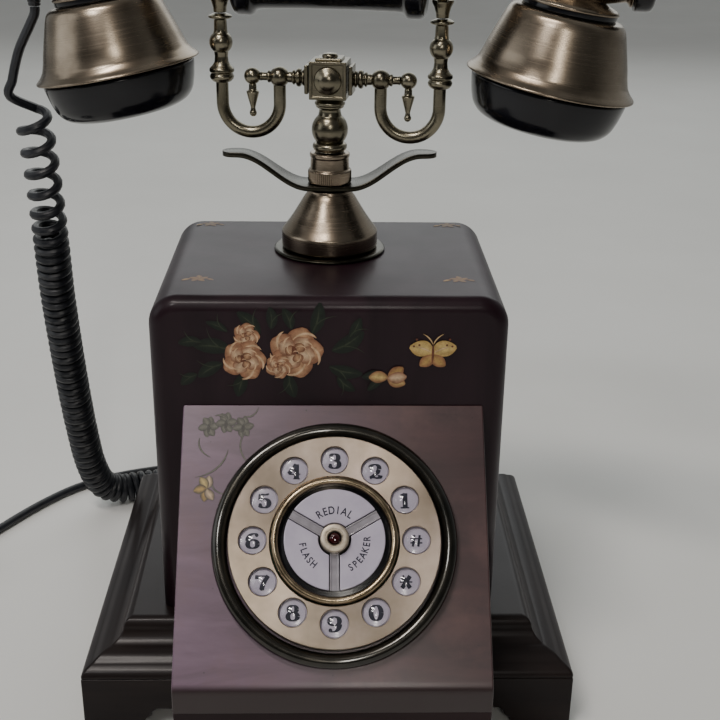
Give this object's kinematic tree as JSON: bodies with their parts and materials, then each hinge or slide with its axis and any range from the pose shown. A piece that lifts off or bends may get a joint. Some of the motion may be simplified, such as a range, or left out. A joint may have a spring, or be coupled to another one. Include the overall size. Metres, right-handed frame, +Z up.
{
  "type": "retro desk telephone",
  "caption": "Retro desk telephone: wooden case on a moulded plinth, sloping push-key dial desk, turned brass cradle column, handset with bell-shaped cups and a curly cord.",
  "frame": {"origin": "centre of the standing object's box, on the table", "axes": "+X caller's right, -Y the dial side, +Z up"},
  "size_m": [0.3424, 0.2553, 0.2804],
  "materials": {
    "case_wood": "dark aubergine-brown lacquer, glossy",
    "desk_wood": "near-black brown lacquer, satin",
    "panel_wood": "worn wine-brown varnish, satin",
    "plinth_wood": "black-brown lacquer, satin",
    "antique_brass": "brown-patinated, softly polished",
    "dark_brass": "blackened, polished",
    "black_plastic": "gloss black",
    "key_plastic": "lilac-grey, clear-capped",
    "ruby_glass": "dark red jewel",
    "steel_plate": "plated sheet",
    "circuit_board": "green laminate with components",
    "cord_black": "satin black sheath",
    "clear_plastic": "clear plug plastic"
  },
  "bodies": {
    "root": {"plinth_moulding": "plinth_wood", "plinth_frame": "plinth_wood", "bottom_cover": "steel_plate", "case_shell": "case_wood", "rear_panel": "case_wood", "main_circuit_board": "circuit_board", "ringer_speaker": "steel_plate", "hook_switch": "black_plastic", "dial_panel": "panel_wood", "desk_box": "desk_wood", "dial_bezel": "dark_brass", "dial_plate": "antique_brass", "dial_inner_ring": "antique_brass", "function_spider": "antique_brass", "jewel_lamp": "ruby_glass", "keypad_circuit_board": "circuit_board", "column_flange": "antique_brass", "column_bell": "antique_brass", "wing_plate": "antique_brass", "knurled_collar": "antique_brass", "handset_cord_base_relief": "cord_black", "line_cord_relief": "cord_black", "handset_cord_curls": "cord_black", "line_cord": "cord_black", "line_cord_coil": "cord_black", "line_plug": "clear_plastic"},
    "cradle": {"cradle_post": "antique_brass", "cradle_block": "antique_brass", "cradle_arm_left": "antique_brass", "cradle_arm_right": "antique_brass", "cradle_upright_left": "antique_brass", "cradle_upright_right": "antique_brass", "cradle_fork_left": "antique_brass", "cradle_fork_right": "antique_brass"},
    "handset": {"handset_grip": "black_plastic", "handset_cord_top_relief": "cord_black", "handset_neck_left": "antique_brass", "handset_neck_right": "antique_brass", "handset_bell_left": "antique_brass", "handset_bell_right": "antique_brass", "handset_end_left": "black_plastic", "handset_end_right": "black_plastic", "handset_cord_lead": "cord_black", "mouthpiece_cap": "black_plastic", "earpiece_cap": "black_plastic"},
    "key_3": {"key_3": "key_plastic"},
    "key_2": {"key_2": "key_plastic"},
    "key_1": {"key_1": "key_plastic"},
    "key_hash": {"key_hash": "key_plastic"},
    "key_star": {"key_star": "key_plastic"},
    "key_0": {"key_0": "key_plastic"},
    "key_9": {"key_9": "key_plastic"},
    "key_8": {"key_8": "key_plastic"},
    "key_7": {"key_7": "key_plastic"},
    "key_6": {"key_6": "key_plastic"},
    "key_5": {"key_5": "key_plastic"},
    "key_4": {"key_4": "key_plastic"},
    "key_redial": {"key_redial": "key_plastic"},
    "key_speaker": {"key_speaker": "key_plastic"},
    "key_flash": {"key_flash": "key_plastic"}
  },
  "joints": [
    {"name": "handset_lift", "type": "slide", "parent": "root", "child": "handset", "axis": [0, 0, 1], "range_m": [0, 0.06]},
    {"name": "hook_plunger", "type": "slide", "parent": "root", "child": "cradle", "axis": [0, 0, 1], "range_m": [0, 0.004], "stiffness_N_per_m": 300, "springref_m": 0.01},
    {"name": "key_3_press", "type": "slide", "parent": "root", "child": "key_3", "axis": [0, 0.7558, -0.6548], "range_m": [0, 0.0012], "stiffness_N_per_m": 400, "springref_m": -0.0006},
    {"name": "key_2_press", "type": "slide", "parent": "root", "child": "key_2", "axis": [0, 0.7558, -0.6548], "range_m": [0, 0.0012], "stiffness_N_per_m": 400, "springref_m": -0.0006},
    {"name": "key_1_press", "type": "slide", "parent": "root", "child": "key_1", "axis": [0, 0.7558, -0.6548], "range_m": [0, 0.0012], "stiffness_N_per_m": 400, "springref_m": -0.0006},
    {"name": "key_hash_press", "type": "slide", "parent": "root", "child": "key_hash", "axis": [0, 0.7558, -0.6548], "range_m": [0, 0.0012], "stiffness_N_per_m": 400, "springref_m": -0.0006},
    {"name": "key_star_press", "type": "slide", "parent": "root", "child": "key_star", "axis": [0, 0.7558, -0.6548], "range_m": [0, 0.0012], "stiffness_N_per_m": 400, "springref_m": -0.0006},
    {"name": "key_0_press", "type": "slide", "parent": "root", "child": "key_0", "axis": [0, 0.7558, -0.6548], "range_m": [0, 0.0012], "stiffness_N_per_m": 400, "springref_m": -0.0006},
    {"name": "key_9_press", "type": "slide", "parent": "root", "child": "key_9", "axis": [0, 0.7558, -0.6548], "range_m": [0, 0.0012], "stiffness_N_per_m": 400, "springref_m": -0.0006},
    {"name": "key_8_press", "type": "slide", "parent": "root", "child": "key_8", "axis": [0, 0.7558, -0.6548], "range_m": [0, 0.0012], "stiffness_N_per_m": 400, "springref_m": -0.0006},
    {"name": "key_7_press", "type": "slide", "parent": "root", "child": "key_7", "axis": [0, 0.7558, -0.6548], "range_m": [0, 0.0012], "stiffness_N_per_m": 400, "springref_m": -0.0006},
    {"name": "key_6_press", "type": "slide", "parent": "root", "child": "key_6", "axis": [0, 0.7558, -0.6548], "range_m": [0, 0.0012], "stiffness_N_per_m": 400, "springref_m": -0.0006},
    {"name": "key_5_press", "type": "slide", "parent": "root", "child": "key_5", "axis": [0, 0.7558, -0.6548], "range_m": [0, 0.0012], "stiffness_N_per_m": 400, "springref_m": -0.0006},
    {"name": "key_4_press", "type": "slide", "parent": "root", "child": "key_4", "axis": [0, 0.7558, -0.6548], "range_m": [0, 0.0012], "stiffness_N_per_m": 400, "springref_m": -0.0006},
    {"name": "key_redial_press", "type": "slide", "parent": "root", "child": "key_redial", "axis": [0, 0.7558, -0.6548], "range_m": [0, 0.001], "stiffness_N_per_m": 500, "springref_m": -0.0006},
    {"name": "key_speaker_press", "type": "slide", "parent": "root", "child": "key_speaker", "axis": [0, 0.7558, -0.6548], "range_m": [0, 0.001], "stiffness_N_per_m": 500, "springref_m": -0.0006},
    {"name": "key_flash_press", "type": "slide", "parent": "root", "child": "key_flash", "axis": [0, 0.7558, -0.6548], "range_m": [0, 0.001], "stiffness_N_per_m": 500, "springref_m": -0.0006}
  ],
  "couplings": [
    {"joint": "hook_plunger", "follows": "handset_lift", "ratio": 0.0666}
  ]
}
